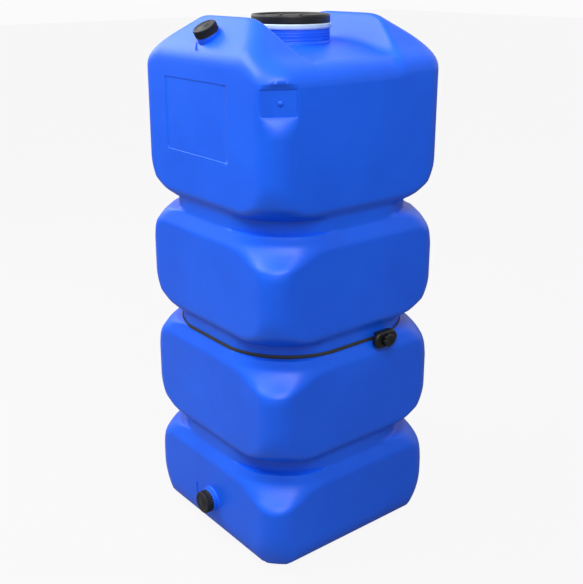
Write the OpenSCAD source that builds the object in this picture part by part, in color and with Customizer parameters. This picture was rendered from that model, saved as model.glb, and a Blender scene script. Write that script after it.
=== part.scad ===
// Upright water tank: four stacked blocks with waists between them, blow-moulded in one piece,
// with a screw lid in the top, a vent cap, a drain cap and a strap round the second waist.
// Millimetres. The origin is under the middle of the base. The front wall, with the label
// recess and the drain, faces -Y; the wall that the strap's clamp sits on faces +X.

/* [Body] */
// Width across the flat walls, both ways
body_w = 720; // [660:10:780]
// Thickness of the moulded wall
wall = 5; // [3:0.5:7]
// Radius of the upright corners
corner_r = 80; // [60:5:100]
// Radius between the base and the walls
base_r = 75; // [50:5:100]
// How far the corners of the base draw in along the diagonal
base_corner_cut = 75; // [60:1:90]
// Height at which the drawn-in corners of the base end
base_corner_h = 155; // [130:5:180]

/* [Waists] */
// Height of the middle of the lowest waist
first_waist_z = 352; // [320:4:400]
// Distance from one waist to the next
block_pitch = 405; // [360:5:440]
// Number of waists
waists = 3; // [2:1:4]
// Height of the upright part of a waist
waist_h = 46; // [40:2:56]
// How far a waist lies behind the walls
waist_inset = 17; // [12:1:24]
// How far a waist's corner facet lies behind the corner, along the diagonal
facet_inset = 95; // [70:5:110]
// Height of the slope from a waist up to the block over it
slope_over = 27; // [22:1:40]
// Height of the slope from a waist down to the block under it
slope_under = 49; // [36:1:60]
// Height of a corner facet over a waist
facet_over = 90; // [70:2:96]
// Height of a corner facet under a waist
facet_under = 84; // [60:2:90]

/* [Top] */
// Height of the front and back walls over the middle of the uppermost waist
top_wall_h = 504; // [470:2:530]
// Rise of the two ridges over the front and back walls, before they are rounded
ridge_rise = 110; // [90:2:130]
// Distance of a ridge from the middle
ridge_y = 233; // [215:2:250]
// Length of a ridge's level part from the middle to the end over a cut corner
ridge_half = 128; // [90:2:150]
// Length of a ridge's level part from the middle to the end over a full corner
ridge_long = 152; // [100:2:170]
// Distance of a ridge's inner foot from the middle
ridge_foot_y = 168; // [150:2:185]
// Distance of a ridge's end foot over a cut corner from the middle
ridge_foot_x = 292; // [270:2:310]
// Distance of a ridge's end foot over a full corner from the middle
long_foot_x = 322; // [290:2:330]
// Rise of the valley's floor over the front and back walls, at the middle
valley_rise = 18; // [10:1:26]
// Half the length of the valley's level part
valley_half = 112; // [90:2:130]
// Drop of the valley's ends, at the ridges' feet, under the tops of the front and back walls
valley_end_drop = 15; // [8:1:22]
// Width of the valley's rounded lip at each end
valley_lip_w = 34; // [24:2:44]
// Drop of the side walls' tops, under the valley's rounded lip
side_drop = 54; // [44:2:66]
// Drop at which the facets on the two cut upper corners start, at the front and at the back
corner_drop = 60; // [48:2:72]
// Drop at which the small facets on the two full upper corners start, at the left and the right
full_corner_drop = 32; // [20:1:44]

/* [Neck and lid] */
// Outer radius of the neck
neck_r = 122; // [116:1:123]
// Thickness of the neck's wall
neck_wall = 6; // [4:0.5:8]
// Height of the neck over the valley's floor
neck_h = 72; // [60:1:84]
// Outer radius of the neck's wider foot, which the collar lies on
neck_foot_r = 126; // [124:0.5:128]
// Outer radius of the pale collar
collar_r = 131.5; // [129:0.5:133]
// Height of the collar
collar_h = 17; // [14:0.5:18]
// Outer radius of the lid's skirt
lid_r = 127.5; // [126.5:0.5:129]
// Height of the lid
lid_h = 27; // [24:0.5:30]
// Thickness of the lid's plate
lid_plate = 4; // [3:0.5:5]
// Depth of the sunk top of the lid
lid_sink = 6; // [4:0.5:8]
// Width of the lid's raised rim
lid_rim_w = 11; // [8:0.5:14]
// Number of grip ribs round the lid
lid_ribs = 48; // [24:4:60]
// Distance of the two grip lugs from the lid's middle
lug_offset = 32; // [24:1:40]
// Length of a grip lug
lug_len = 32; // [20:2:44]
// Width of a grip lug
lug_w = 12; // [8:1:16]
// Angle at which the lid has come to rest
lug_turn = 52; // [0:2:90]
// Thickness of the gasket
gasket_h = 3.5; // [2:0.5:5]

/* [Screw caps] */
// Outer radius of the threaded bosses
boss_r = 30; // [26:0.5:32]
// Radius of the bores in the bosses
bore_r = 25; // [20:0.5:26]
// Length of the threaded part of a boss
thread_h = 18; // [14:0.5:22]
// Outer radius of the caps
cap_r = 38.5; // [37:0.5:42]
// Thickness of a cap's end plate
cap_plate = 5; // [4:0.5:6]
// Number of grip ribs round a cap
cap_ribs = 24; // [12:2:32]
// Thickness of the seal washers
seal_h = 3; // [2:0.5:4]
// Radius of the drain's shoulder
drain_shoulder_r = 42; // [38:0.5:48]
// Height of the drain's shoulder over the wall
drain_shoulder_h = 18; // [12:1:24]
// Height of the drain's middle over the base
drain_z = 137; // [132:1:150]
// Sideways place of the drain
drain_x = 10; // [-30:1:30]
// Radius of the vent's shoulder
vent_shoulder_r = 38; // [34:0.5:40]
// Height of the vent's shoulder over the slope, on its axis
vent_shoulder_h = 10; // [10:0.5:14]
// Angle by which the vent stands steeper than square to the slope
vent_lean = 12; // [4:1:12]
// Sideways place of the vent
vent_x = -16; // [-60:1:40]
// Share of the slope's length at which the vent sits, from its lower edge
vent_share = 0.42; // [0.38:0.01:0.56]
// Length of the index rib beside the drain
drain_index_len = 44; // [30:2:60]
// Length of the index rib under the vent
vent_index_len = 36; // [24:2:40]
// Height and width of an index rib
index_size = 3; // [2:0.5:4]

/* [Label and pockets] */
// Width of the label recess
label_w = 336; // [300:4:380]
// Sideways place of the label recess
label_x = -24; // [-40:2:20]
// Height of the label recess
label_h = 232; // [180:4:250]
// Height of the label recess over the middle of the uppermost waist
label_up = 188; // [160:2:200]
// Depth of the label recess
label_depth = 2; // [1:0.25:3]
// Height of the flat of the corner pocket
pocket_h = 84; // [70:2:100]
// Drop of the flat's upper edge under the tops of the front and back walls
pocket_drop = 79; // [76:1:90]
// Depth of the flat behind the corner
pocket_depth = 20; // [16:1:24]
// Height of the slope under the flat
pocket_ledge = 40; // [30:1:50]
// Height of the slope over the flat
pocket_brow = 26; // [20:1:30]
// Width of the sunk face in the flat
pocket_w = 104; // [80:2:108]
// Depth of the sunk face
pocket_sink = 2; // [1:0.25:3]
// Height of the flat's margin over and under the sunk face
pocket_margin = 3; // [2:0.5:6]
// Angle by which the pocket is turned from the diagonal, round the corner
pocket_turn = 16; // [0:1:18]
// Radius of the nub in the pocket
nub_r = 11; // [8:0.5:13]
// Distance of the nub from the pocket's middle
nub_shift = 4; // [-10:1:10]

/* [Strap] */
// Height of the strap
strap_h = 12; // [9:0.5:16]
// Thickness of the strap
strap_t = 2.4; // [1.5:0.1:3.5]
// Width of the clamp along the wall
clamp_w = 100; // [80:2:110]
// Height of the clamp
clamp_h = 58; // [46:2:60]
// Thickness of the clamp's oval body
clamp_t = 19; // [15:1:24]
// Thickness of the foot under the clamp's oval body
clamp_foot = 9; // [7:1:12]
// Distance of the clamp from the middle of its wall
clamp_y = 108; // [60:2:120]
// Radius of the knob
knob_r = 24; // [18:0.5:26]
// Thickness of the knob
knob_t = 14; // [10:0.5:18]
// Number of grooves round the knob
knob_grooves = 8; // [5:1:10]
// Radius of a groove in the knob
groove_r = 6; // [4:0.5:7]
// Radius of the stud in the knob
stud_r = 5; // [3:0.25:7]

/* [Hidden] */

// Straight steps in each rounded bend of an outline
bend_steps = 3;
// Straight steps in each upright corner
corner_steps = 8;
// Gap between a moving piece and what it turns or slides on
run_gap = 0.4;
// Gap round the stud, which turns in the clamp
stud_gap = 0.1;
// Smallest gap between pieces that lie on each other
lie_gap = 0.3;
// How far the waist's round corners start outside its flat sides
round_lead = 1.5;
// How far the corner facet stands out of the round waist over it
facet_lead = 3;
// How far the slope over a full corner reaches past the side wall
slope_lead = 1;
// How far the ridges are carried down into the block
ridge_root = 160;

half_w = body_w / 2;
// Distance of a rounded corner from the middle, along the diagonal
corner_q = half_w * sqrt(2) - corner_r * (sqrt(2) - 1);
top_waist_z = first_waist_z + (waists - 1) * block_pitch;
wall_top_z = top_waist_z + top_wall_h;
ridge_z = wall_top_z + ridge_rise;
valley_z = wall_top_z + valley_rise;
valley_end_z = wall_top_z - valley_end_drop;
side_top_z = wall_top_z - side_drop;
neck_top_z = valley_z + neck_h;
label_z = top_waist_z + label_up;
pocket_z = wall_top_z - pocket_drop - pocket_h;
waist_half = half_w - waist_inset;
waist_q = corner_q - facet_inset;
// Centre and radius of the waist's round corners
waist_c = (waist_q - waist_half - round_lead) / (sqrt(2) - 1);
waist_r = waist_half + round_lead - waist_c;
strap_waist_z = first_waist_z + block_pitch;
strap_z = strap_waist_z - waist_h / 2 + 1;
// The outer slope of a ridge rises from the front wall's top
slope_angle = atan2(ridge_z - wall_top_z, half_w - ridge_y);
vent_tilt = slope_angle - vent_lean;
slope_run = [half_w - ridge_y, ridge_z - wall_top_z];
vent_foot = [vent_x, -half_w + vent_share * slope_run[0], wall_top_z + vent_share * slope_run[1]];
over_all = 2 * body_w;

neck_bore_r = neck_r - neck_wall;
collar_z = neck_top_z + gasket_h + lid_plate + lid_sink - lid_h - lie_gap - collar_h;
lid_z = collar_z + collar_h + lie_gap;
lid_top_z = lid_z + lid_h;
plate_z = neck_top_z + gasket_h;

cap_h = thread_h + seal_h + cap_plate - run_gap;
clamp_z = strap_z + strap_h / 2 - 6;

// Unit vector along v, and v turned a quarter turn to the left
function unit(v) = v / norm(v);
function left(v) = [-v[1], v[0]];
function xy(p) = [p[0], p[1]];
function edge_normal(v, i) = left(unit(xy(v[i + 1]) - xy(v[i])));
function is_left_turn(a, b) = a[0] * b[1] - a[1] * b[0] > 0;

// Moves an open outline of [x, z, radius] corners to its left by t
function inset_outline(v, t) = [
    for (i = [0 : len(v) - 1])
        let (a = i > 0 ? edge_normal(v, i - 1) : edge_normal(v, 0),
             b = i < len(v) - 1 ? edge_normal(v, i) : a,
             p = xy(v[i]) + t * (a + b) / (1 + a * b),
             r = v[i][2] + (is_left_turn(a, b) ? -t : t))
        [p[0], p[1], v[i][2] > 0 ? max(r, 1) : 0]
];

// Rounds each corner of an open outline by its own radius
function round_outline(v) = [
    for (i = [0 : len(v) - 1])
        if (i == 0 || i == len(v) - 1 || v[i][2] == 0) xy(v[i])
        else
            let (a = edge_normal(v, i - 1),
                 b = edge_normal(v, i),
                 side = is_left_turn(a, b) ? 1 : -1,
                 centre = xy(v[i]) + side * v[i][2] * (a + b) / (1 + a * b),
                 start = atan2(a[1], a[0]),
                 turn = side * acos(a * b))
            for (k = [0 : bend_steps])
                let (g = start + turn * k / bend_steps)
                centre - side * v[i][2] * [cos(g), sin(g)]
];

// Joins an outline that starts and ends on the middle line with the mirror image of another
function two_sides(p, q) = concat(p, [for (i = [len(q) - 2 : -1 : 1]) [-q[i][0], q[i][1]]]);

// Outline corners at one waist: outer distance, waist distance, heights of the slopes
function waist_corners(z, outer, inner, under, over, r_out, r_in) = [
    [outer, z - waist_h / 2 - under, r_out],
    [inner, z - waist_h / 2, r_in],
    [inner, z + waist_h / 2, r_in],
    [outer, z + waist_h / 2 + over, r_out]
];
function all_waists(outer, inner, under, over, r_out, r_in) = [
    for (k = [0 : waists - 1])
        each waist_corners(first_waist_z + k * block_pitch, outer, inner, under, over, r_out, r_in)
];

// The hollow corner facets under a waist; the groove over them is cut by round_waist()
function facet_corners(z) =
    let (d = facet_inset - facet_lead,
         q = waist_q + facet_lead,
         under = z - waist_h / 2)
    [
        [q + d, under - facet_under, 30],
        [q + 0.64 * d, under - 0.76 * facet_under, 0],
        [q + 0.28 * d, under - 0.4 * facet_under, 0],
        [q, under, 0],
        [q, z, 0],
        [q + d + 12, z, 0]
    ];

// Outline of a waist's round corner from its own centre, bulging out over the waist
function groove_corners(z) =
    let (d = facet_inset,
         under = z - waist_h / 2,
         over = z + waist_h / 2)
    [
        [waist_r + d + 40, under, 0],
        [waist_r, under, 0],
        [waist_r, over, 8],
        [waist_r + 0.46 * d, over + 0.22 * facet_over, 0],
        [waist_r + 0.82 * d, over + 0.56 * facet_over, 0],
        [waist_r + 1.18 * d, over + 1.44 * facet_over, 0]
    ];
function wall_corners() = all_waists(half_w, waist_half, slope_under, slope_over, 45, 16);

// The same moved inward by t and closed far outside the tank
function groove_outline(z, t) =
    let (p = round_outline(inset_outline(groove_corners(z), t)),
         last = p[len(p) - 1])
    concat(p, [[p[0][0], last[1]]]);

// Outline of the side walls, which ends in the valley's floor
function side_outline() = concat(
    [[0, 0, 0], [half_w, 0, base_r]], wall_corners(),
    [[half_w, side_top_z, 30], [half_w - valley_lip_w, valley_end_z - 6, 50], [valley_half, valley_z, 80], [0, valley_z, 0]]);

// Outline of the front and back walls, which ends in the ridges' outer slopes
function front_outline() = concat(
    [[0, 0, 0], [half_w, 0, base_r]], wall_corners(),
    [[half_w, wall_top_z, 40], [ridge_y, ridge_z, 0], [0, ridge_z, 0]]);

// Outline along a diagonal, whose upper facet starts at the drop
function corner_outline(drop) = concat(
    [[0, 0, 0]],
    [for (g = [0 : 30 : 90])
        [corner_q - base_corner_cut * (1 - sin(g)), base_corner_h * (1 - cos(g)), g == 0 ? 0 : 60]],
    [for (k = [0 : waists - 1]) each facet_corners(first_waist_z + k * block_pitch)],
    [[corner_q, wall_top_z - drop, 40], [corner_q - ridge_rise - drop, ridge_z, 0], [0, ridge_z, 0]]);

// Ridge across the valley: outer slope, rounded crest, inner slope
function ridge_section() = [
    [half_w, wall_top_z, 0],
    [ridge_y, ridge_z, 22],
    [ridge_foot_y - 30, valley_end_z - 30 * (ridge_z - valley_end_z) / (ridge_y - ridge_foot_y), 0]
];
// Ridge along its length: the end over a cut corner
function ridge_cut_end() =
    let (low_z = wall_top_z - ridge_root,
         run = (ridge_foot_x - ridge_half) / (ridge_z - valley_end_z))
    [
        [0, low_z, 0], [ridge_half + run * (ridge_z - low_z), low_z, 0],
        [ridge_half, ridge_z, 60], [0, ridge_z, 0]
    ];
// The end over a full corner, which runs out on the side wall
function ridge_full_end() =
    let (end_x = half_w + slope_lead,
         fall = (ridge_z - valley_end_z) / (long_foot_x - ridge_long),
         end_z = valley_end_z - (end_x - long_foot_x) * fall)
    [
        [0, wall_top_z - ridge_root, 0], [end_x, wall_top_z - ridge_root, 0],
        [end_x, end_z, 40], [ridge_long, ridge_z, 60], [0, ridge_z, 0]
    ];

function rounded_square(half, r) = [
    for (q = [0 : 3])
        for (k = [0 : corner_steps])
            let (g = 90 * (q + k / corner_steps),
                 c = (half - r) * sqrt(2) * [cos(90 * q + 45), sin(90 * q + 45)])
            c + r * [cos(g), sin(g)]
];

// Solid between two outlines, one on each side of the middle, level across the whole tank
module two_sided_prism(v, w, t, turn) {
    p = round_outline(inset_outline(v, t));
    q = round_outline(inset_outline(w, t));
    rotate([90, 0, turn])
        linear_extrude(height = over_all, center = true)
            polygon(two_sides(p, q));
}

module outline_prism(v, t, turn) {
    two_sided_prism(v, v, t, turn);
}

// The ridge at the back, with its full corner at the right; the front one is the same, half a turn on
module ridge(t) {
    // The ends of the section are carried down into the block
    section = round_outline(inset_outline(ridge_section(), t));
    low_z = wall_top_z - 0.75 * ridge_root;
    last = len(section) - 1;
    intersection() {
        rotate([90, 0, 90])
            linear_extrude(height = over_all, center = true)
                polygon(concat([[section[0][0], low_z]], section, [[section[last][0], low_z]]));
        two_sided_prism(ridge_full_end(), ridge_cut_end(), t, 0);
    }
}

// Places its children on the centre of the front corner's rounding, with X out of the pocket
module at_pocket() {
    rotate([0, 0, -45])
        translate([corner_q - corner_r, 0, 0])
            rotate([0, 0, pocket_turn])
                translate([corner_r - pocket_depth, 0, pocket_z])
                    children();
}

// Flat cut across the corner, with a slope at each end
module corner_pocket(t) {
    far = 2;
    at_pocket()
        rotate([90, 0, 0])
            linear_extrude(height = 3 * corner_r, center = true)
                polygon([[-t, -t], [far * pocket_depth, -t - far * pocket_ledge],
                         [far * pocket_depth, pocket_h + t + far * pocket_brow], [-t, pocket_h + t]]);
}

// Round corners of the waists
module round_waist(t) {
    for (k = [0 : waists - 1])
        for (s = [0 : 3])
            rotate([0, 0, 90 * s])
                translate([waist_c, waist_c, 0])
                    rotate_extrude(angle = 90, $fn = 192)
                        polygon(groove_outline(first_waist_z + k * block_pitch, t));
}

// The tank's whole form, moved inward by t
module tank_form(t) {
    difference() {
        intersection() {
            outline_prism(front_outline(), t, 90);
            outline_prism(corner_outline(full_corner_drop), t, 45);
            outline_prism(corner_outline(corner_drop), t, -45);
            translate([0, 0, t])
                linear_extrude(height = ridge_z)
                    polygon(rounded_square(half_w - t, corner_r - t));
            union() {
                outline_prism(side_outline(), t, 0);
                ridge(t);
                rotate([0, 0, 180])
                    ridge(t);
            }
        }
        corner_pocket(t);
        round_waist(t);
    }
}

// Places its children with their Z axis out of the drain's wall
module at_drain() {
    translate([drain_x, -half_w, drain_z])
        rotate([90, 0, 0])
            children();
}

// Places its children on the front ridge's outer slope, with their Z axis leaning forward
module at_vent(angle) {
    translate(vent_foot)
        rotate([angle, 0, 0])
            children();
}

module ring(outer, inner, h) {
    rotate_extrude($fn = 96)
        translate([inner, 0])
            square([outer - inner, h]);
}

// A shoulder with a threaded neck, rooted in the wall
module boss(shoulder_r, shoulder_h) {
    root = 3 * wall;
    translate([0, 0, -root]) {
        cylinder(r = shoulder_r, h = shoulder_h + root, $fn = 96);
        cylinder(r = boss_r, h = shoulder_h + thread_h + root, $fn = 96);
    }
}

module boss_bore(shoulder_h) {
    translate([0, 0, -4 * wall])
        cylinder(r = bore_r, h = shoulder_h + thread_h + 8 * wall, $fn = 96);
}

// Short rib that marks the place of a boss, upright on its surface
module index_rib(len) {
    root = 2;
    translate([-index_size / 2, -len / 2, -root])
        cube([index_size, len, index_size + root]);
}

module nub() {
    translate([-pocket_sink - nub_r / 2, nub_shift, pocket_h / 2])
        sphere(r = nub_r, $fn = 48);
}

module tank_shell() {
    color("#2B5FE3")
        difference() {
            union() {
                tank_form(0);
                translate([0, 0, valley_z - wall])
                    cylinder(r = neck_r, h = neck_top_z - valley_z + wall, $fn = 128);
                translate([0, 0, valley_z - wall])
                    cylinder(r = neck_foot_r, h = collar_z - valley_z + wall, $fn = 128);
                at_drain() {
                    boss(drain_shoulder_r, drain_shoulder_h);
                    translate([-drain_shoulder_r - 55, 0, 0])
                        index_rib(drain_index_len);
                }
                at_vent(vent_tilt)
                    boss(vent_shoulder_r, vent_shoulder_h);
                at_vent(slope_angle)
                    translate([-vent_shoulder_r / 2, -vent_shoulder_r - 8, 0])
                        rotate([0, 0, 42])
                            index_rib(vent_index_len);
                at_pocket()
                    nub();
            }
            tank_form(wall);
            translate([0, 0, wall_top_z - 60])
                cylinder(r = neck_bore_r, h = neck_top_z, $fn = 128);
            at_drain() boss_bore(drain_shoulder_h);
            at_vent(vent_tilt) boss_bore(vent_shoulder_h);
            translate([label_x - label_w / 2, -half_w - 1, label_z])
                cube([label_w, label_depth + 1, label_h]);
            // Sunk face in the pocket, round the nub
            at_pocket()
                difference() {
                    translate([-pocket_sink, -pocket_w / 2, pocket_margin])
                        cube([pocket_depth, pocket_w, pocket_h - 2 * pocket_margin]);
                    nub();
                }
        }
}

module neck_collar() {
    color("#C9D2DA")
        translate([0, 0, collar_z])
            ring(collar_r, neck_r + lie_gap, collar_h);
}

module lid_gasket() {
    color("#3A3A3C")
        translate([0, 0, neck_top_z])
            ring(neck_r - 0.5, neck_bore_r, gasket_h);
}

module main_lid() {
    color("#1E1F22")
        difference() {
            union() {
                translate([0, 0, lid_z])
                    cylinder(r = lid_r - 1, h = lid_h, $fn = 128);
                for (k = [0 : lid_ribs - 1])
                    rotate([0, 0, 360 * k / lid_ribs])
                        translate([lid_r - 2, -2, lid_z])
                            cube([2, 4, lid_h - 3]);
            }
            // Room for the neck and the gasket
            translate([0, 0, lid_z - 1])
                cylinder(r = neck_r + run_gap, h = plate_z - lid_z + 1, $fn = 128);
            // Sunk top, which leaves the rim and the two grip lugs
            difference() {
                translate([0, 0, plate_z + lid_plate])
                    cylinder(r = lid_r - lid_rim_w, h = lid_sink + 1, $fn = 128);
                for (side = [-1, 1])
                    rotate([0, 0, lug_turn])
                        translate([side * lug_offset - lug_w / 2, -lug_len / 2, plate_z])
                            cube([lug_w, lug_len, lid_plate + lid_sink - 1]);
            }
        }
}

// Seal washer, laid on a boss's rim
module seal_ring() {
    ring(boss_r - 0.5, bore_r, seal_h);
}

// Screw cap, open at Z = 0, with grip ribs round it
module screw_cap() {
    difference() {
        union() {
            cylinder(r = cap_r - 1.5, h = cap_h, $fn = 96);
            for (k = [0 : cap_ribs - 1])
                rotate([0, 0, 360 * k / cap_ribs])
                    translate([cap_r - 3, -1.8, 0])
                        cube([3, 3.6, cap_h - 2.5]);
        }
        translate([0, 0, -1])
            cylinder(r = boss_r + run_gap, h = cap_h - cap_plate + 1, $fn = 96);
    }
}

module vent_seal() {
    color("#3A3A3C")
        at_vent(vent_tilt)
            translate([0, 0, vent_shoulder_h + thread_h])
                seal_ring();
}

module vent_cap() {
    color("#1E1F22")
        at_vent(vent_tilt)
            translate([0, 0, vent_shoulder_h + run_gap])
                screw_cap();
}

module drain_seal() {
    color("#3A3A3C")
        at_drain()
            translate([0, 0, drain_shoulder_h + thread_h])
                seal_ring();
}

module drain_cap() {
    color("#1E1F22")
        at_drain()
            translate([0, 0, drain_shoulder_h + run_gap])
                screw_cap();
}

// The waist's outline, moved outward by gap
module waist_section(gap) {
    intersection() {
        square(2 * (waist_half + gap), center = true);
        union() {
            for (s = [0 : 3])
                rotate([0, 0, 90 * s])
                    translate([waist_c, waist_c])
                        circle(r = waist_r + gap, $fn = 192);
            for (s = [0, 1])
                rotate([0, 0, 90 * s])
                    square([2 * (waist_c + waist_r + gap), 2 * waist_c], center = true);
        }
    }
}

// Strap round the waist, lying just over the block under it
module girth_strap() {
    color("#17181A")
        translate([0, 0, strap_z])
            linear_extrude(height = strap_h)
                difference() {
                    waist_section(lie_gap + strap_t);
                    waist_section(lie_gap);
                }
}

// Places its children with their Z axis out of the clamp's wall and their X axis along it
module at_clamp() {
    translate([waist_half + lie_gap + strap_t + lie_gap, clamp_y, clamp_z])
        rotate([90, 0, 90])
            children();
}

module oval(w, h, t) {
    linear_extrude(height = t)
        union() {
            square([w - h, h], center = true);
            for (side = [-1, 1])
                translate([side * (w - h) / 2, 0])
                    circle(d = h, $fn = 72);
        }
}

module strap_clamp() {
    pad_bottom = strap_z + 1 - clamp_z;
    color("#1B1C1E")
        at_clamp()
            difference() {
                union() {
                    translate([0, 0, clamp_foot])
                        oval(clamp_w, clamp_h, clamp_t);
                    translate([-clamp_w / 3, pad_bottom, 0])
                        cube([clamp_w / 1.5, clamp_h / 2 - pad_bottom - 4, clamp_foot + 1]);
                }
                translate([0, 0, clamp_foot + 2])
                    cylinder(r = stud_r + stud_gap, h = clamp_t, $fn = 48);
            }
}

module strap_knob() {
    color("#101113")
        at_clamp()
            translate([0, 0, clamp_foot + clamp_t + run_gap])
                difference() {
                    cylinder(r = knob_r, h = knob_t, $fn = 72);
                    for (k = [0 : knob_grooves - 1])
                        rotate([0, 0, 360 * k / knob_grooves])
                            translate([knob_r + 0.6 * groove_r, 0, -1])
                                cylinder(r = groove_r, h = knob_t + 2, $fn = 32);
                    translate([0, 0, -1])
                        cylinder(r = stud_r, h = knob_t - 3, $fn = 48);
                }
}

module clamp_stud() {
    color("#8C9096")
        at_clamp()
            translate([0, 0, clamp_foot + 3])
                cylinder(r = stud_r, h = clamp_t + run_gap + knob_t - 7, $fn = 48);
}

tank_shell();
neck_collar();
lid_gasket();
main_lid();
vent_seal();
vent_cap();
drain_seal();
drain_cap();
girth_strap();
strap_clamp();
strap_knob();
clamp_stud();
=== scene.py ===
"""Upright water tank: stacked blow-moulded blocks with waists, a screw lid, two screw caps and a strap."""
import math

import bpy
import numpy as np
from mathutils import Matrix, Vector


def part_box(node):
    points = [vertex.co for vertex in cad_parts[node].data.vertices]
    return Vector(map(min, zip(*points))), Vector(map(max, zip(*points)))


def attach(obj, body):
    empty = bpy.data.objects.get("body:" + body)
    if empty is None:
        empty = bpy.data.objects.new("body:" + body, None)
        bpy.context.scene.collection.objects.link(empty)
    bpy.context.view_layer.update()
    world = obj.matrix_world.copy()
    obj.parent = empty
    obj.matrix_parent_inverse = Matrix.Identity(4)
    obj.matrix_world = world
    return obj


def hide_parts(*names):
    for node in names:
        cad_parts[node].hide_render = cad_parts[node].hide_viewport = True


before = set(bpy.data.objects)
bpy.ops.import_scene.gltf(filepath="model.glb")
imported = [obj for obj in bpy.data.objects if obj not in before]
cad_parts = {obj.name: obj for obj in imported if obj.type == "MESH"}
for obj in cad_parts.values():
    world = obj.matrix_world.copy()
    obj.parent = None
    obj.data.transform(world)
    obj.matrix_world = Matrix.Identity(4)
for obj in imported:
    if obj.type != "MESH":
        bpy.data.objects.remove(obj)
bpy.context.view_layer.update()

MM = 0.001
TAU = 2 * math.pi
ROOT2 = math.sqrt(2)

# Small tools


def mm_box(node):
    """Lowest and highest corner of a CAD node, in millimetres."""
    low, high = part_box(node)
    return np.array(low) / MM, np.array(high) / MM


def linear(hex_colour):
    """An sRGB hex colour as the linear colour that Blender's sockets take."""
    parts = [int(hex_colour[i:i + 2], 16) / 255 for i in (1, 3, 5)]
    return [c / 12.92 if c <= 0.04045 else ((c + 0.055) / 1.055) ** 2.4 for c in parts] + [1.0]


def soft_min(a, b, k):
    """The smaller of a and b, rounded over where they are within k of each other."""
    h = np.clip(0.5 + 0.5 * (b - a) / k, 0, 1)
    return b + (a - b) * h - k * h * (1 - h)


def soft_max(a, b, k):
    return -soft_min(-a, -b, k)


def turn_x(angle):
    c, s = math.cos(angle), math.sin(angle)
    return np.array([[1, 0, 0], [0, c, -s], [0, s, c]])


def turn_z(angle):
    c, s = math.cos(angle), math.sin(angle)
    return np.array([[c, -s, 0], [s, c, 0], [0, 0, 1]])


def placed(points, rotation, origin):
    return np.asarray(points) @ np.asarray(rotation).T + np.asarray(origin)


def grid_faces(rows, cols, closed=True, flip=False):
    """Quads between rows of points, each row a closed or open line of cols points."""
    faces = []
    for i in range(rows - 1):
        for j in range(cols if closed else cols - 1):
            a = i * cols + j
            b = i * cols + (j + 1) % cols
            quad = (a, b, b + cols, a + cols)
            faces.append(quad[::-1] if flip else quad)
    return faces


def lathe(profile, steps):
    """Points and quads of (radius, height) pairs turned about Z. The profile has the solid on its left."""
    angles = np.arange(steps) / steps * TAU
    points = [(r * math.cos(a), r * math.sin(a), z) for r, z in profile for a in angles]
    return points, grid_faces(len(profile), steps)


def fillet(corners, radii, steps=5):
    """A line of 2-D corners with each corner rounded by its own radius."""
    out = []
    pts = [np.array(c, float) for c in corners]
    for i, p in enumerate(pts):
        r = radii[i]
        if r <= 0 or i in (0, len(pts) - 1):
            out.append(tuple(p))
            continue
        u = (pts[i - 1] - p) / np.linalg.norm(pts[i - 1] - p)
        v = (pts[i + 1] - p) / np.linalg.norm(pts[i + 1] - p)
        half = math.acos(np.clip(u @ v, -1, 1)) / 2
        if abs(half - math.pi / 2) < 1e-3:
            out.append(tuple(p))
            continue
        reach = r / math.tan(half)
        centre = p + (u + v) / np.linalg.norm(u + v) * r / math.sin(half)
        a, b = p + u * reach - centre, p + v * reach - centre
        for k in range(steps + 1):
            t = k / steps
            d = a * (1 - t) + b * t
            out.append(tuple(centre + d / np.linalg.norm(d) * r))
    return out


def merge(*parts):
    """Joins (points, faces) pairs into one."""
    points, faces = [], []
    for part_points, part_faces in parts:
        base = len(points)
        points.extend(map(tuple, part_points))
        faces.extend(tuple(i + base for i in f) for f in part_faces)
    return points, faces


def make_piece(name, shape, material, body, replaced, sharp_over=40):
    """A mesh object from points in millimetres, smooth but for edges sharper than sharp_over degrees."""
    points, faces = shape
    mesh = bpy.data.meshes.new(name)
    mesh.from_pydata((np.asarray(points) * MM).tolist(), [], faces)
    mesh.validate()
    mesh.update()
    mesh.polygons.foreach_set("use_smooth", [True] * len(mesh.polygons))
    mesh.set_sharp_from_angle(angle=math.radians(sharp_over))
    mesh.materials.append(material)
    piece = bpy.data.objects.new(name, mesh)
    bpy.context.scene.collection.objects.link(piece)
    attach(piece, body)
    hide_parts(*replaced)
    return piece


# Materials


def new_material(name):
    material = bpy.data.materials.new(name)
    material.use_nodes = True
    tree = material.node_tree
    shader = next(n for n in tree.nodes if n.type == "BSDF_PRINCIPLED")
    return material, tree, shader


def add_node(tree, kind, settings=None, links=None):
    """Adds a node, sets its properties and input values, and links its inputs from other outputs."""
    node = tree.nodes.new(kind)
    for key, value in (settings or {}).items():
        if isinstance(key, int) or key in node.inputs:
            node.inputs[key].default_value = value
        else:
            setattr(node, key, value)
    for key, source in (links or {}).items():
        tree.links.new(source, node.inputs[key])
    return node


def add_noise(tree, place, grain_mm, detail, roughness=0.5):
    """Noise with a grain of that size in millimetres; its scale is in cells per metre."""
    settings = {"Scale": 1000 / grain_mm, "Detail": detail, "Roughness": roughness}
    return add_node(tree, "ShaderNodeTexNoise", settings, {"Vector": place}).outputs["Fac"]


def add_ramp(tree, factor, dark, light, dark_at=0.0, light_at=1.0):
    """A colour between dark and light, by a factor from 0 to 1."""
    ramp = add_node(tree, "ShaderNodeValToRGB", {}, {"Fac": factor})
    for element, colour, at in zip(ramp.color_ramp.elements, (dark, light), (dark_at, light_at)):
        element.position = at
        element.color = linear(colour)
    return ramp.outputs["Color"]


def add_bump(tree, height, depth_mm, below=None):
    """Small relief of that depth in millimetres, on top of the relief below."""
    links = {"Height": height}
    if below:
        links["Normal"] = below
    settings = {"Strength": 1.0, "Distance": depth_mm * MM}
    return add_node(tree, "ShaderNodeBump", settings, links).outputs["Normal"]


PLASTIC_IOR = 1.5


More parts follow.
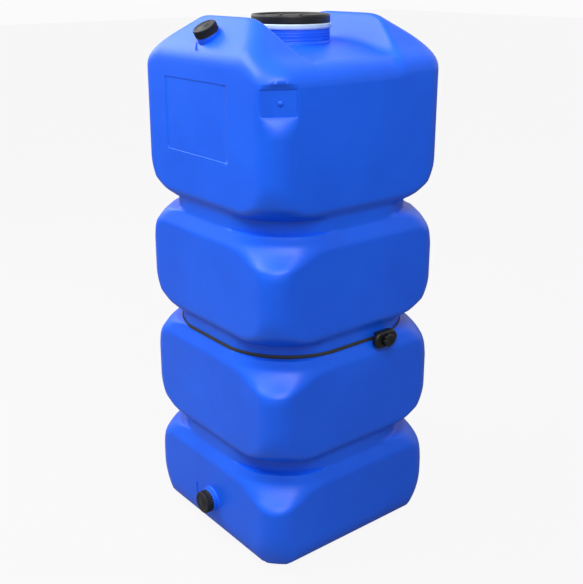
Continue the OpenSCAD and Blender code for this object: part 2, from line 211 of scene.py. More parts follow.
def moulded_plastic(name, dark, light, roughness, gloss, cloud_mm, grain_mm, grain_depth_mm,
                    wave_mm=0.0, wave_depth_mm=0.0):
    """Plastic or rubber from a mould: one colour that clouds a little, and a fine satin skin."""
    material, tree, shader = new_material(name)
    place = add_node(tree, "ShaderNodeTexCoord").outputs["Object"]
    cloud = add_noise(tree, place, cloud_mm, 3.0, 0.55)
    tree.links.new(add_ramp(tree, cloud, dark, light, 0.3, 0.7), shader.inputs["Base Color"])
    # Handling polishes the skin here and there
    sheen = add_node(tree, "ShaderNodeMapRange", {"To Min": roughness - 0.05, "To Max": roughness + 0.06},
                     {"Value": cloud})
    tree.links.new(sheen.outputs["Result"], shader.inputs["Roughness"])
    relief = add_bump(tree, add_noise(tree, place, grain_mm, 2.0), grain_depth_mm)
    if wave_mm:
        relief = add_bump(tree, add_noise(tree, place, wave_mm, 1.0), wave_depth_mm, relief)
    tree.links.new(relief, shader.inputs["Normal"])
    shader.inputs["IOR"].default_value = PLASTIC_IOR
    shader.inputs["Specular IOR Level"].default_value = gloss
    return material


# Blow-moulded polyethylene: even blue with a soft satin skin, slightly wavy where the wall cooled
tank_blue = moulded_plastic("blue_blow_moulded_polyethylene", "#0A56DE", "#0D5EEA", 0.42, 0.36, 260, 2.2,
                            0.025, 90, 0.5)
# Injection-moulded polypropylene: near black with a fine spark-eroded grain that greys the highlights
cap_black = moulded_plastic("black_injection_moulded_polypropylene", "#0C0D10", "#141518", 0.42, 0.3, 60,
                            1.2, 0.04)
# The same plastic on the clamp, a little smoother from handling
clamp_black = moulded_plastic("black_clamp_polypropylene", "#0B0B0D", "#151312", 0.38, 0.3, 40, 1.5, 0.03)
# Natural polyethylene: cloudy, pale blue-grey with a waxy surface
collar_pale = moulded_plastic("natural_polyethylene", "#A9C2D8", "#C6D8E6", 0.38, 0.5, 50, 2.5, 0.02)
# Rubber seals: dull charcoal with a trace of bloom
seal_rubber = moulded_plastic("moulded_seal_rubber", "#2B2B2D", "#38383A", 0.7, 0.4, 30, 1.0, 0.03)


def woven_band():
    """Polyester strapping: fine uneven ribs give it a broken, dull sheen."""
    material, tree, shader = new_material("black_woven_polyester_band")
    place = add_node(tree, "ShaderNodeTexCoord").outputs["Object"]
    # The real ribs are about 1 mm apart and are drawn at 3 mm, so that they show
    ribs = add_noise(tree, place, 3, 1.0)
    tree.links.new(add_ramp(tree, ribs, "#121315", "#2C2E33"), shader.inputs["Base Color"])
    tree.links.new(add_bump(tree, ribs, 0.3), shader.inputs["Normal"])
    shader.inputs["Roughness"].default_value = 0.6
    shader.inputs["IOR"].default_value = PLASTIC_IOR
    return material


def turned_steel():
    """Zinc-plated steel: grey metal with an uneven polish from turning."""
    material, tree, shader = new_material("turned_zinc_plated_steel")
    place = add_node(tree, "ShaderNodeTexCoord").outputs["Object"]
    sheen = add_node(tree, "ShaderNodeMapRange", {"To Min": 0.25, "To Max": 0.42},
                     {"Value": add_noise(tree, place, 2, 3.0)})
    tree.links.new(sheen.outputs["Result"], shader.inputs["Roughness"])
    shader.inputs["Base Color"].default_value = linear("#9A9EA4")
    shader.inputs["Metallic"].default_value = 1.0
    return material


band_black = woven_band()
stud_steel = turned_steel()

# The tank's form, in millimetres

HALF = mm_box("tank_shell")[1][0]
RIM_Z = mm_box("lid_gasket")[0][2]
WALL = 5.0
CORNER_R = 80.0
# Half length of a wall's flat part
STRAIGHT = HALF - CORNER_R
# Distance of a rounded corner, and of its arc's centre, from the axis along the diagonal
CORNER_Q = HALF * ROOT2 - CORNER_R * (ROOT2 - 1)
ARC_Q = CORNER_Q - CORNER_R
# Middles of the waists, their half height, and how far in they lie at the walls and at the corners
WAIST_Z = (352.0, 757.0, 1162.0)
WAIST_HALF_H = 23.0
WAIST_IN = 17.0
WAIST_CORNER_IN = 95.0
# Heights of the walls' chamfers under and over a waist
CHAMFER_UNDER, CHAMFER_OVER = 49.0, 27.0
# Heights of the hollows and shoulders under a waist's corners, and of the bulges over them
HOLLOW_UNDER, SHOULDER_UNDER, BULGE_OVER = 93.0, 84.0, 90.0
# How far the hollows start out of the waist's corners
HOLLOW_LEAD = 3.0
# Centre and radius of a waist's round corners, which lie a little out of its flats
ROUND_OUT = 1.5
ROUND_C = (CORNER_Q - WAIST_CORNER_IN - HALF + WAIST_IN - ROUND_OUT) / (ROOT2 - 1)
ROUND_R = HALF - WAIST_IN + ROUND_OUT - ROUND_C
# Rounding of the walls' lower edge, and of the upright corners as they near the base
BASE_R = 75.0
BASE_CUT, BASE_CORNER_H = 75.0, 155.0
WALL_TOP = 1666.0
RIDGE_Y, RIDGE_Z, FOOT_Y, FOOT_Z = 233.0, 1776.0, 168.0, 1651.0
# Each ridge has its long end over a full corner and its short one over a cut corner
LONG_HALF, LONG_FOOT, LONG_FACET = 152.0, 322.0, 1634.0
SHORT_HALF, SHORT_FOOT, SHORT_FACET = 128.0, 292.0, 1606.0
# The valley's flat middle, its slopes down to the lips, and the side walls' tops under the lips
VALLEY_Z, VALLEY_HALF, LIP_W = 1684.0, 112.0, 34.0
LIP_Z, SIDE_TOP = 1645.0, 1612.0
POCKET_LOW, POCKET_HIGH, POCKET_DEPTH = 1503.0, 1587.0, 20.0
POCKET_TURN = math.radians(16)
# How steeply the pocket's ledge falls and its brow rises outward
POCKET_LEDGE, POCKET_BROW = 1.6, 1.3
# Radius of the pocket's flat from the arc's centre, and where that flat ends on each side
POCKET_FLAT = CORNER_R - POCKET_DEPTH
POCKET_ENDS = (-58.2, 56.7)
SUNK_HALF, SUNK_DEPTH, SUNK_MARGIN = 52.0, 2.0, 3.0
LABEL_X, LABEL_HALF, LABEL_LOW, LABEL_HIGH, LABEL_DEPTH = -24.0, 168.0, 1350.0, 1582.0, 2.0
NECK_R, NECK_BORE, NECK_FOOT_R = 122.0, 116.0, 126.0
# How far the blends between neighbouring faces reach
WALL_BLEND, HOLLOW_BLEND, TOP_BLEND, BASE_BLEND = 30.0, 30.0, 30.0, 8.0
VALLEY_BLEND, LIP_BLEND, RIDGE_BLEND = 14.0, 26.0, 30.0
FOOT_BLEND, SLOPE_BLEND, FACET_BLEND = 28.0, 36.0, 30.0
POCKET_BLEND, POCKET_EDGE_BLEND = 3.0, 2.0
# The waist's corners have a sharp upper and lower edge, which softens up the bulges
GROOVE_SHARP, GROOVE_SOFT, GROOVE_SHARE = 1.0, 16.0, 0.3

drain_low, drain_high = mm_box("drain_seal")
drain_x = (drain_low[0] + drain_high[0]) / 2
drain_z = (drain_low[2] + drain_high[2]) / 2
vent_low, vent_high = mm_box("vent_seal")
vent_middle = (vent_low + vent_high) / 2
SLOPE = math.atan2(RIDGE_Z - WALL_TOP, HALF - RIDGE_Y)
VENT_LEAN = math.radians(12)
# Columns are the directions of the cap's own X, Y and Z axes
DRAIN_TURN = turn_x(math.pi / 2)
VENT_TURN = turn_x(SLOPE - VENT_LEAN)
DRAIN_SHOULDER_R, DRAIN_SHOULDER_H = 42.0, 18.0
VENT_SHOULDER_R, VENT_SHOULDER_H = 38.0, 10.0
BOSS_R, BORE_R, THREAD_H = 30.0, 25.0, 18.0
SEAL_H, CAP_PLATE = 3.0, 5.0
CAP_R = (mm_box("drain_cap")[1][0] - mm_box("drain_cap")[0][0]) / 2
drain_origin = np.array([drain_x, -HALF, drain_z])
# The washer's middle lies this far over the slope
vent_origin = vent_middle - VENT_TURN[:, 2] * (VENT_SHOULDER_H + THREAD_H + SEAL_H / 2)

# Heights that the profiles span
PROFILE_LOW, PROFILE_HIGH = -80.0, 1900.0
# How far from a waist's middle the hollows, shoulders and bulges act
HOLLOW_SPAN = WAIST_HALF_H + 1.25 * HOLLOW_UNDER
SHOULDER_SPAN = WAIST_HALF_H + 1.35 * SHOULDER_UNDER
BULGE_SPAN = WAIST_HALF_H + 1.44 * BULGE_OVER


def profile_table(stations, blur):
    """Distance by height from (height, distance) stations, softened over blur millimetres each way."""
    stations = sorted(stations)
    table_z = np.arange(PROFILE_LOW, PROFILE_HIGH, 1.0)
    table = np.interp(table_z, [s[0] for s in stations], [s[1] for s in stations])
    window = np.hanning(2 * blur + 1)
    window /= window.sum()
    padded = np.pad(table, blur, mode="edge")
    return table_z, np.convolve(padded, window, mode="valid")


def wall_stations():
    """Distances of the walls from the axis: full out, and in at each waist."""
    stations = [(PROFILE_LOW, HALF), (PROFILE_HIGH, HALF)]
    for z in WAIST_Z:
        under, over = z - WAIST_HALF_H, z + WAIST_HALF_H
        stations += [(under - CHAMFER_UNDER, HALF), (under, HALF - WAIST_IN)]
        stations += [(over, HALF - WAIST_IN), (over + CHAMFER_OVER, HALF)]
    return stations


def hollow_stations():
    """Distances from the axis of the hollows under the waists, at the cut corners."""
    inner = CORNER_Q - WAIST_CORNER_IN + HOLLOW_LEAD
    depth = WAIST_CORNER_IN - HOLLOW_LEAD
    # Shares of the height under the waist and of the depth, from the lower edge up to the ledge
    curve = ((1.3, 1.6), (1.0, 1.04), (0.77, 0.66), (0.53, 0.4), (0.32, 0.25), (0.0, 0.19), (-0.1, 0.0),
             (-0.4, 0.0))
    stations = []
    for z in WAIST_Z:
        under = z - WAIST_HALF_H
        stations += [(under - share * HOLLOW_UNDER, inner + out * depth) for share, out in curve]
    return stations


def round_stations(full):
    """Radii of the waists' round corners, which bulge out over them, and under them at the full corners."""
    shoulder = ((1.4, 1.1), (1.0, 1.0), (0.75, 0.9), (0.33, 0.63), (0.0, 0.3))
    bulge = ((0.0, 0.0), (0.22, 0.46), (0.56, 0.82), (1.44, 1.18))
    stations = []
    for z in WAIST_Z:
        under, over = z - WAIST_HALF_H, z + WAIST_HALF_H
        if full:
            stations += [(under - share * SHOULDER_UNDER, ROUND_R + out * WAIST_CORNER_IN)
                         for share, out in shoulder]
            stations.append((under + 1, ROUND_R))
        else:
            stations.append((under - 30, ROUND_R))
        stations += [(over + share * BULGE_OVER, ROUND_R + out * WAIST_CORNER_IN) for share, out in bulge]
    return stations


def only_within(table, below, above):
    """A table's values from below to above each waist's middle, and a distance clear of the tank beyond."""
    table_z, values = table
    kept = np.zeros(len(table_z), bool)
    for z in WAIST_Z:
        kept |= (table_z >= z - below) & (table_z <= z + above)
    return table_z, np.where(kept, values, 2 * HALF)


WALL_TABLE = profile_table(wall_stations(), 10)
HOLLOW_TABLE = only_within(profile_table(hollow_stations(), 5), HOLLOW_SPAN, -WAIST_HALF_H)
CUT_TABLE = only_within(profile_table(round_stations(False), 8), WAIST_HALF_H, BULGE_SPAN)
FULL_TABLE = only_within(profile_table(round_stations(True), 9), SHOULDER_SPAN, BULGE_SPAN)


def plan_field(x, y, z, inset):
    """How far a point lies inside the walls, waists, shoulders and hollows at its height."""
    ax, ay = np.abs(x), np.abs(y)
    reach = np.interp(z, *WALL_TABLE)
    low = np.clip(z, 0, BASE_R)
    reach = np.minimum(reach, HALF - BASE_R + np.sqrt(BASE_R ** 2 - (BASE_R - low) ** 2))
    flat = soft_min(reach - ax, reach - ay, WALL_BLEND)
    # The upright corners grow rounder toward the base
    fall = 1 - np.clip(z, 0, BASE_CORNER_H) / BASE_CORNER_H
    radius = CORNER_R + BASE_CUT * (1 - np.sqrt(1 - fall ** 2)) / (ROOT2 - 1)
    cx, cy = ax - HALF + radius, ay - HALF + radius
    rounded = np.where((cx > 0) & (cy > 0), radius - np.hypot(cx, cy), np.minimum(HALF - ax, HALF - ay))
    full = x * y > 0
    bend = np.where(full, np.interp(z, *FULL_TABLE), np.interp(z, *CUT_TABLE))
    groove = bend - np.hypot(np.maximum(ax - ROUND_C, 0), np.maximum(ay - ROUND_C, 0))
    hollow = np.where(full, HALF, np.interp(z, *HOLLOW_TABLE) - np.hypot(x, y))
    softness = GROOVE_SHARP + np.clip(GROOVE_SHARE * (bend - ROUND_R), 0, GROOVE_SOFT)
    inside = soft_min(np.minimum(flat, rounded), groove, softness)
    return soft_min(inside, hollow, HOLLOW_BLEND) - inset


def top_height(x, y):
    """Height of the top: two ridges across a valley, slopes to the walls and facets on the corners."""
    ax, ay = np.abs(x), np.abs(y)
    full = x * y > 0
    end_half = np.where(full, LONG_HALF, SHORT_HALF)
    end_foot = np.where(full, LONG_FOOT, SHORT_FOOT)
    outer = WALL_TOP + (HALF - ay) * (RIDGE_Z - WALL_TOP) / (HALF - RIDGE_Y)
    inner = FOOT_Z + (ay - FOOT_Y) * (RIDGE_Z - FOOT_Z) / (RIDGE_Y - FOOT_Y)
    end = FOOT_Z + (end_foot - ax) * (RIDGE_Z - FOOT_Z) / (end_foot - end_half)
    corner = np.where(full, LONG_FACET, SHORT_FACET) + CORNER_Q - (ax + ay) / ROOT2
    slope = VALLEY_Z - (ax - VALLEY_HALF) * (VALLEY_Z - LIP_Z) / (HALF - LIP_W - VALLEY_HALF)
    lip = LIP_Z - (ax - HALF + LIP_W) * (LIP_Z - SIDE_TOP) / LIP_W
    valley = soft_min(soft_min(VALLEY_Z, slope, VALLEY_BLEND), lip, LIP_BLEND)
    ridge = soft_min(inner, end, RIDGE_BLEND)
    crest = soft_min(outer, soft_max(valley, ridge, FOOT_BLEND), SLOPE_BLEND)
    return soft_min(crest, corner, FACET_BLEND)


def pocket_axes(x, y):
    """Distances out of the front corner's arc, square to the pocket's flat, and along the flat."""
    a = POCKET_TURN - math.pi / 4
    px, py = x - ARC_Q / ROOT2, y + ARC_Q / ROOT2
    return px * math.cos(a) + py * math.sin(a), -px * math.sin(a) + py * math.cos(a)


def pocket_field(x, y, z):
    """How far a point lies outside the front corner's pocket: a flat with a ledge, a brow and a sunk face."""
    out, side = pocket_axes(x, y)
    ledge = (POCKET_LOW - POCKET_LEDGE * (out - POCKET_FLAT) - z) / math.hypot(1, POCKET_LEDGE)
    brow = (z - POCKET_HIGH - POCKET_BROW * (out - POCKET_FLAT)) / math.hypot(1, POCKET_BROW)
    cut = soft_max(POCKET_FLAT - out, soft_max(ledge, brow, POCKET_EDGE_BLEND), POCKET_BLEND)
    ends = np.maximum(POCKET_LOW + SUNK_MARGIN - z, z - POCKET_HIGH + SUNK_MARGIN)
    rim = np.maximum(np.abs(side) - SUNK_HALF, ends)
    return np.minimum(cut, np.maximum(POCKET_FLAT - SUNK_DEPTH - out, rim))


def label_field(x, y, z):
    """How far a point lies outside the shallow recess in the front wall."""
    side = np.maximum(np.abs(x - LABEL_X) - LABEL_HALF, np.maximum(LABEL_LOW - z, z - LABEL_HIGH))
    return np.maximum(y + HALF - LABEL_DEPTH, side)


def tank_field(x, y, z, inset):
    """How far a point lies inside the tank's outer skin, or inside its inner one where inset is over 0."""
    plan = plan_field(x, y, z, inset)
    if inset > 0:
        # A ledge is as thick as a wall
        for step in (-inset, inset):
            plan = np.minimum(plan, plan_field(x, y, z + step, inset))
    # The ridges' slopes are steep, so the inner skin lies twice as far down there
    inside = soft_min(plan, top_height(x, y) - z - 2 * inset, TOP_BLEND)
    inside = soft_min(inside, z - inset, BASE_BLEND)
    if inset == 0:
        inside = np.minimum(inside, label_field(x, y, z))
    return soft_min(inside, pocket_field(x, y, z) - inset, POCKET_BLEND)


# A ray's length, and how often it is halved to find the skin
RAY, HALVINGS = 700.0, 26


def surface_points(origins, directions, inset):
    """Where rays from inside the tank leave it, found by halving."""
    low = np.zeros(len(origins))
    high = np.full(len(origins), RAY)
    for _ in range(HALVINGS):
        middle = (low + high) / 2
        x, y, z = (origins + directions * middle[:, None]).T
        inside = tank_field(x, y, z, inset) > 0
        low, high = np.where(inside, middle, low), np.where(inside, high, middle)
    return origins + directions * low[:, None]


# Parts of a wall's half length with their own steps: near the drain, on the flat and near a corner
DRAIN_PART, FLAT_PART, CORNER_PART = (1.5, 56.0), (64.0, 180.0), 184.0


def outline_columns(near_drain, flat_step, near_corner, arc_step):
    """Directions of the mesh's upright lines, closer together at the drain, the corners and the pocket."""
    side = [0, DRAIN_PART[0]] + list(np.arange(near_drain, DRAIN_PART[1], near_drain))
    side += list(np.arange(*FLAT_PART, flat_step))
    side += list(np.arange(CORNER_PART, STRAIGHT, near_corner))
    # One line on each side of the label's upright edges
    side += [abs(LABEL_X + LABEL_HALF * s) + d for s in (-1, 1) for d in (-1, 1)]
    angles = [math.atan2(t, HALF) for t in side]
    steps = int(CORNER_R * math.pi / 4 / arc_step)
    for k in range(steps + 1):
        a = math.pi / 4 * k / steps
        angles.append(math.atan2(STRAIGHT + CORNER_R * math.sin(a), STRAIGHT + CORNER_R * math.cos(a)))
    eighth = sorted(set(round(a, 6) for a in angles))
    quarter = sorted(set(eighth + [round(math.pi / 2 - a, 6) for a in eighth]))
    columns = [a + k * math.pi / 2 for k in range(4) for a in quarter if a < math.pi / 2 - 1e-5]
    # The ends of the pocket's flat, and both sides of the sunk face's upright edges
    sunk = (-SUNK_HALF - 0.6, -SUNK_HALF + 0.8, SUNK_HALF - 0.8, SUNK_HALF + 0.6)
    for t in POCKET_ENDS + sunk:
        q = ARC_Q + POCKET_FLAT * math.cos(POCKET_TURN) - t * math.sin(POCKET_TURN)
        s = POCKET_FLAT * math.sin(POCKET_TURN) + t * math.cos(POCKET_TURN)
        columns.append((math.atan2(s, q) - math.pi / 4) % TAU)
    return np.array(sorted(columns))


# Heights from which the mesh fans out round the base's edge and the top's, and how far in that is
BASE_FAN_Z, BASE_FAN_IN = 112.0, 140.0
TOP_FAN_Z, TOP_FAN_IN = 1601.0, 95.0
# How far under and over a waist, and over the drain, the level lines are close
NEAR_UNDER, NEAR_OVER, NEAR_DRAIN = 130.0, 150.0, 50.0


def wall_heights(fine, coarse):
    """Heights of the mesh's level lines from the base fan to the top fan."""
    heights = []
    z = BASE_FAN_Z
    while z < TOP_FAN_Z - 1:
        heights.append(z)
        by_waist = any(w - NEAR_UNDER < z + fine and z < w + NEAR_OVER for w in WAIST_Z)
        z += fine if by_waist or z < drain_z + NEAR_DRAIN else coarse
    marks = [POCKET_LOW, POCKET_HIGH, POCKET_LOW + SUNK_MARGIN, POCKET_HIGH - SUNK_MARGIN]
    marks += [LABEL_LOW, LABEL_HIGH] + [w - WAIST_HALF_H for w in WAIST_Z]
    heights = [h for h in heights if all(abs(h - m) > 2 for m in marks)]
    # One line just under and one just over each edge
    for m in marks:
        heights += [m - 0.7, m + 0.7]
    return sorted(heights)


def tank_skin(inset, columns, heights, fan, rings):
    """The tank's outer or inner skin as rows of points, from the middle of the base up to the neck."""
    c, s = np.cos(columns), np.sin(columns)
    across = HALF / np.maximum(np.abs(c), np.abs(s))
    b = STRAIGHT * (np.abs(c) + np.abs(s))
    arc = b + np.sqrt(np.maximum(b * b - 2 * STRAIGHT ** 2 + CORNER_R ** 2, 0))
    in_arc = (across * np.abs(c) > STRAIGHT) & (across * np.abs(s) > STRAIGHT)
    reach = np.where(in_arc, arc, across)
    n = len(columns)
    rows = []

    def cast(radius, z, out, up):
        origin = np.stack([radius * c, radius * s, np.full(n, z)], -1)
        direction = np.stack([out * c, out * s, np.full(n, up)], -1)
        rows.append(surface_points(origin, direction, inset))

    base_radius = reach - BASE_FAN_IN
    for share in (0.02, 0.5, 0.8):
        cast(base_radius * share, BASE_FAN_Z, 0.0, -1.0)
    for k in range(fan):
        a = -math.pi / 2 * (1 - k / fan)
        cast(base_radius, BASE_FAN_Z, math.cos(a), math.sin(a))
    for z in heights:
        cast(np.zeros(n), z, 1.0, 0.0)
    top_radius = reach - TOP_FAN_IN
    for k in range(fan + 1):
        a = math.pi / 2 * k / fan
        cast(top_radius, TOP_FAN_Z, math.cos(a), math.sin(a))
    inner = NECK_R - 3
    for k in range(1, rings + 1):
        cast(top_radius + (inner - top_radius) * k / rings, TOP_FAN_Z, 0.0, 1.0)
    points = np.concatenate(rows)
    faces = grid_faces(len(rows), n, flip=inset > 0)
    # The base's middle is closed by one face
    middle = tuple(range(n))
    faces.append(middle[::-1] if inset == 0 else middle)
    return points, faces


def open_bores(skin):
    """Takes out the faces that lie across the drain's and the vent's bores."""
    points, faces = skin
    covered = np.zeros(len(points), bool)
    for turn, origin in ((DRAIN_TURN, drain_origin), (VENT_TURN, vent_origin)):
        own = (points - origin) @ turn
        covered |= (np.hypot(own[:, 0], own[:, 1]) < BORE_R + 1) & (np.abs(own[:, 2]) < 30)
    return points, [f for f in faces if not any(covered[i] for i in f)]


outer_skin = open_bores(tank_skin(0, outline_columns(10, 30, 9, 6.5), wall_heights(7.5, 26.0), 12, 56))
inner_skin = open_bores(tank_skin(WALL, outline_columns(28, 60, 30, 18), wall_heights(24.0, 60.0), 6, 24))

# Neck, bosses and small marks

# Pitch of the ribs that stand for a thread, and their crest and root inside the boss's radius
RIB_PITCH, RIB_CREST, RIB_ROOT = 4.4, 0.2, 1.6
# Half height of a bead round the neck's foot, and how far it stands out
BEAD_HALF, BEAD_OUT = 1.6, 0.9
INDEX_W = 3.0
DRAIN_INDEX, VENT_INDEX, VENT_INDEX_TURN = 44.0, 36.0, math.radians(42)
POCKET_NUB_R, POCKET_NUB_SINK, POCKET_NUB_SIDE = 11.0, 5.5, 4.0
MARK_R, MARK_SINK = 6.0, 5.2
# Places of the mould's round marks along and up the front wall and the right wall
FRONT_MARKS = ((187, 1621), (168, 1467), (165, 1307))
RIGHT_MARKS = ((-209, 1528), (-208, 1392))


def boss_shape(shoulder_r, shoulder_h, flare, root):
    """A shoulder that flares out of the wall, with a ribbed neck and a bore."""
    profile = fillet([(shoulder_r + flare, -root), (shoulder_r + flare, 0.3), (shoulder_r, 1.2),
                      (shoulder_r, shoulder_h), (BOSS_R - 1, shoulder_h)], [0, 0, flare, 3, 0])
    crest, foot = BOSS_R - RIB_CREST, BOSS_R - RIB_ROOT
    z = shoulder_h + 1.5
    while z < shoulder_h + THREAD_H - 4:
        profile += [(foot, z), (crest, z + 1.2), (crest, z + 1.9), (foot, z + 3.1)]
        z += RIB_PITCH
    top = shoulder_h + THREAD_H
    profile += fillet([(BOSS_R - 1.4, top - 3), (BOSS_R - 1.4, top), (BORE_R, top), (BORE_R, -8)],
                      [0, 1, 1, 0])
    return lathe(profile, 72)


def neck_shape():
    """The tank's wide neck with its foot, low beads, rim and bore."""
    collar_foot = mm_box("neck_collar")[0][2]
    foot = NECK_FOOT_R
    corners = [(foot + 5, VALLEY_Z - 9), (foot + 5, VALLEY_Z - 1), (foot, VALLEY_Z + 3)]
    radii = [0, 3, 3]
    for z in (VALLEY_Z + 10, VALLEY_Z + 22, collar_foot - 12):
        corners += [(foot, z - BEAD_HALF), (foot + BEAD_OUT, z), (foot, z + BEAD_HALF)]
        radii += [0.8, 0.8, 0.8]
    corners += [(foot, collar_foot), (NECK_R, collar_foot), (NECK_R, RIM_Z), (NECK_BORE, RIM_Z),
                (NECK_BORE, VALLEY_Z - 14)]
    radii += [1.2, 0.5, 1.5, 1.5, 0]
    return lathe(fillet(corners, radii, 3), 144)


def nub_shape(radius, sink):
    """A low round nub: the part of a ball that stands out of a flat face, along X."""
    points = []
    rows, cols = 9, 24
    limit = math.acos(sink / radius)
    for i in range(rows):
        a = limit * (1 - i / (rows - 1)) + 1e-3
        around = radius * math.sin(a)
        for j in range(cols):
            b = j / cols * TAU
            points.append((radius * math.cos(a) - sink, around * math.cos(b), around * math.sin(b)))
    faces = grid_faces(rows, cols)
    faces.append(tuple((rows - 1) * cols + j for j in range(cols)))
    return points, faces


def rib_shape(length, width, height):
    """A short rounded rib along Y that stands up Z."""
    right = [(width / 2 - 0.8, height), (width / 2, height - 1), (width / 2, 0.6), (width / 2 + 1.5, -0.5)]
    section = [(-x, z) for x, z in right[::-1]] + right
    half = length / 2
    points = []
    for y, share in ((-half - 2, 0.0), (-half, 0.75), (-half + 2, 1.0), (half - 2, 1.0), (half, 0.75),
                     (half + 2, 0.0)):
        points += [(x, y, z * share if z > 0 else z) for x, z in section]
    return points, grid_faces(6, len(section), closed=False)


def tank_details():
    """Neck, bosses, the pocket's nub, index ribs and mould marks, all of the tank's own plastic."""
    parts = [neck_shape()]

    def add(shape, turn, origin):
        parts.append((placed(shape[0], turn, origin), shape[1]))

    add(boss_shape(DRAIN_SHOULDER_R, DRAIN_SHOULDER_H, 6, 3), DRAIN_TURN, drain_origin)
    add(boss_shape(VENT_SHOULDER_R, VENT_SHOULDER_H, 0.01, 14), VENT_TURN, vent_origin)
    out = turn_z(POCKET_TURN - math.pi / 4)
    arc = turn_z(-math.pi / 4) @ np.array([ARC_Q, 0, 0])
    face = np.array([POCKET_FLAT - SUNK_DEPTH, POCKET_NUB_SIDE, (POCKET_LOW + POCKET_HIGH) / 2])
    add(nub_shape(POCKET_NUB_R, POCKET_NUB_SINK), out, arc + out @ face)
    add(rib_shape(DRAIN_INDEX, INDEX_W, INDEX_W), DRAIN_TURN, drain_origin - [DRAIN_SHOULDER_R + 55, 0, 0])
    points, faces = rib_shape(VENT_INDEX, INDEX_W, INDEX_W)
    beside = [-VENT_SHOULDER_R / 2, -VENT_SHOULDER_R - 8, 0]
    add((placed(points, turn_z(VENT_INDEX_TURN), beside), faces), turn_x(SLOPE), vent_origin)
    for x, z in FRONT_MARKS:
        add(nub_shape(MARK_R, MARK_SINK), turn_z(-math.pi / 2), [x, -HALF, z])
    for y, z in RIGHT_MARKS:
        add(nub_shape(MARK_R, MARK_SINK), turn_z(0), [HALF - 0.3, y, z])
    return merge(*parts)


make_piece("tank_body", merge(outer_skin, inner_skin, tank_details()), tank_blue, "tank",
           ["tank_shell"], 50)

# Collar and lid

collar_low, collar_high = mm_box("neck_collar")


def collar_shape():
    """The pale ring under the lid, with a chamfered lower edge."""
    low, high, r = collar_low[2], collar_high[2], collar_high[0]
    bore = NECK_R + 0.4
    corners = [(bore, low), (r - 3, low), (r, low + 5), (r, high - 3), (r - 2, high), (bore, high),
               (bore, low)]
    return lathe(fillet(corners, [0, 1.5, 2, 1.5, 1, 0, 0]), 144)


make_piece("collar_ring", collar_shape(), collar_pale, "tank", ["neck_collar"])

lid_low, lid_high = mm_box("main_lid")
LID_R = lid_high[0]
# Underside of the lid's plate, and its sunk upper face
LID_PLATE_Z = RIM_Z + 3.5
LID_FACE_Z = LID_PLATE_Z + 4.0
LUG_SIZE, LUG_OFFSET, LID_REST = (12, 32, 5.5), 32, math.radians(52)
# A turned face stops this far from the axis
PIN = 0.5


def lid_shape():
    """Screw lid: a smooth skirt with a raised rim, a sunk top, and room for the neck under it."""
    low, high = lid_low[2], lid_high[2]
    face = LID_FACE_Z
    # The lid's underside comes first, from the middle out, then the skirt, the rim and the sunk face
    corners = [(NECK_R + 0.5, LID_PLATE_Z), (NECK_R + 0.5, low), (LID_R - 0.6, low), (LID_R, low + 4),
               (LID_R - 0.4, high - 6), (LID_R - 3, high), (LID_R - 11, high), (LID_R - 13.5, face),
               (84, face), (80, face + 1.6), (72, face + 1.6), (68, face), (PIN, face)]
    radii = [0, 0.6, 1, 2, 3, 2.5, 2.5, 3, 1.5, 1, 1, 1.5, 0]
    return lathe([(PIN, LID_PLATE_Z)] + fillet(corners, radii), 160)


def block_shape(size, radius, steps=4):
    """A block with rounded upright and upper edges, standing on Z = 0."""
    x, y, z = size
    corners = [(x / 2, 0), (x / 2, y / 2), (-x / 2, y / 2), (-x / 2, -y / 2), (x / 2, -y / 2), (x / 2, 0)]
    outline = np.array(fillet(corners, [0] + [radius] * 4 + [0], steps)[:-1])
    edge = radius / 2
    levels = [(0.0, 0.0), (z - edge, 0.0)]
    levels += [(z - edge * (1 - math.sin(a)), edge * (1 - math.cos(a))) for a in (0.5, 1.0, math.pi / 2)]
    points = []
    for height, draw_in in levels:
        scale = 1 - 2 * draw_in / np.array([x, y])
        points += [(p[0] * scale[0], p[1] * scale[1], height) for p in outline]
    n = len(outline)
    faces = grid_faces(len(levels), n)
    faces.append(tuple((len(levels) - 1) * n + j for j in range(n)))
    return points, faces


def lid_with_lugs():
    parts = [lid_shape()]
    points, faces = block_shape(LUG_SIZE, 4)
    turn = turn_z(LID_REST)
    for side in (-1, 1):
        seat = turn @ np.array([side * LUG_OFFSET, 0, LID_FACE_Z - 0.1])
        parts.append((placed(points, turn, seat), faces))
    return merge(*parts)


make_piece("lid_disc", lid_with_lugs(), cap_black, "lid", ["main_lid"], 45)

# Screw caps

CAP_RIBS, STEPS_PER_RIB = 30, 8
# Play between a cap and its seat
CAP_PLAY = 0.4


